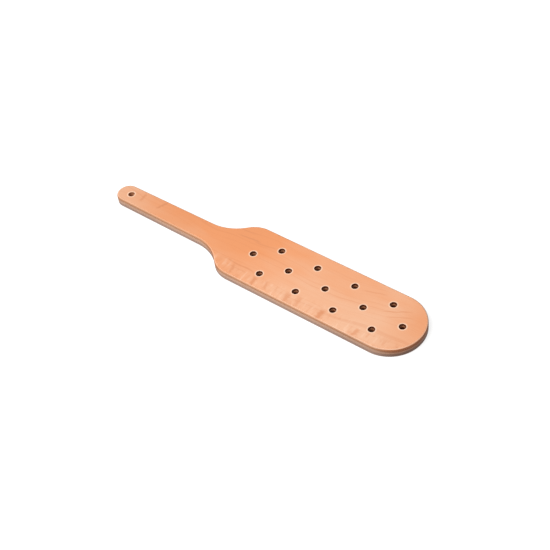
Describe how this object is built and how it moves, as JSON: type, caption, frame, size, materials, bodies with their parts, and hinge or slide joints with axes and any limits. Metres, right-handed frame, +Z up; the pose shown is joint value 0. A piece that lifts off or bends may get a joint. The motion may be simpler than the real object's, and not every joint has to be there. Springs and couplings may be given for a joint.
{
  "type": "perforated wooden paddle",
  "caption": "Long flat wooden paddle cut from plywood, with a slim handle, a hang hole, a straight blade with a half-round end and staggered air holes through it.",
  "frame": {"origin": "under the middle of the overall length and width, on the lower face that the paddle lies on", "axes": "+X along the paddle from the handle end to the blade end, +Y across the blade, +Z up through the panel to the face veneer"},
  "size_m": [0.431, 0.081, 0.012],
  "materials": {
    "long_grain_veneer": "satin, thin clear lacquer, grain along the paddle",
    "cross_grain_veneer": "satin, thin clear lacquer, grain across the paddle",
    "glue_line": "cured resin, dark"
  },
  "bodies": {
    "root": {"back_veneer": "long_grain_veneer", "crossband_1": "cross_grain_veneer", "long_band_1": "long_grain_veneer", "crossband_2": "cross_grain_veneer", "centre_veneer": "long_grain_veneer", "crossband_3": "cross_grain_veneer", "long_band_2": "long_grain_veneer", "crossband_4": "cross_grain_veneer", "face_veneer": "long_grain_veneer", "glue_line_1": "glue_line", "glue_line_2": "glue_line", "glue_line_3": "glue_line", "glue_line_4": "glue_line", "glue_line_5": "glue_line", "glue_line_6": "glue_line", "glue_line_7": "glue_line", "glue_line_8": "glue_line"}
  },
  "joints": []
}
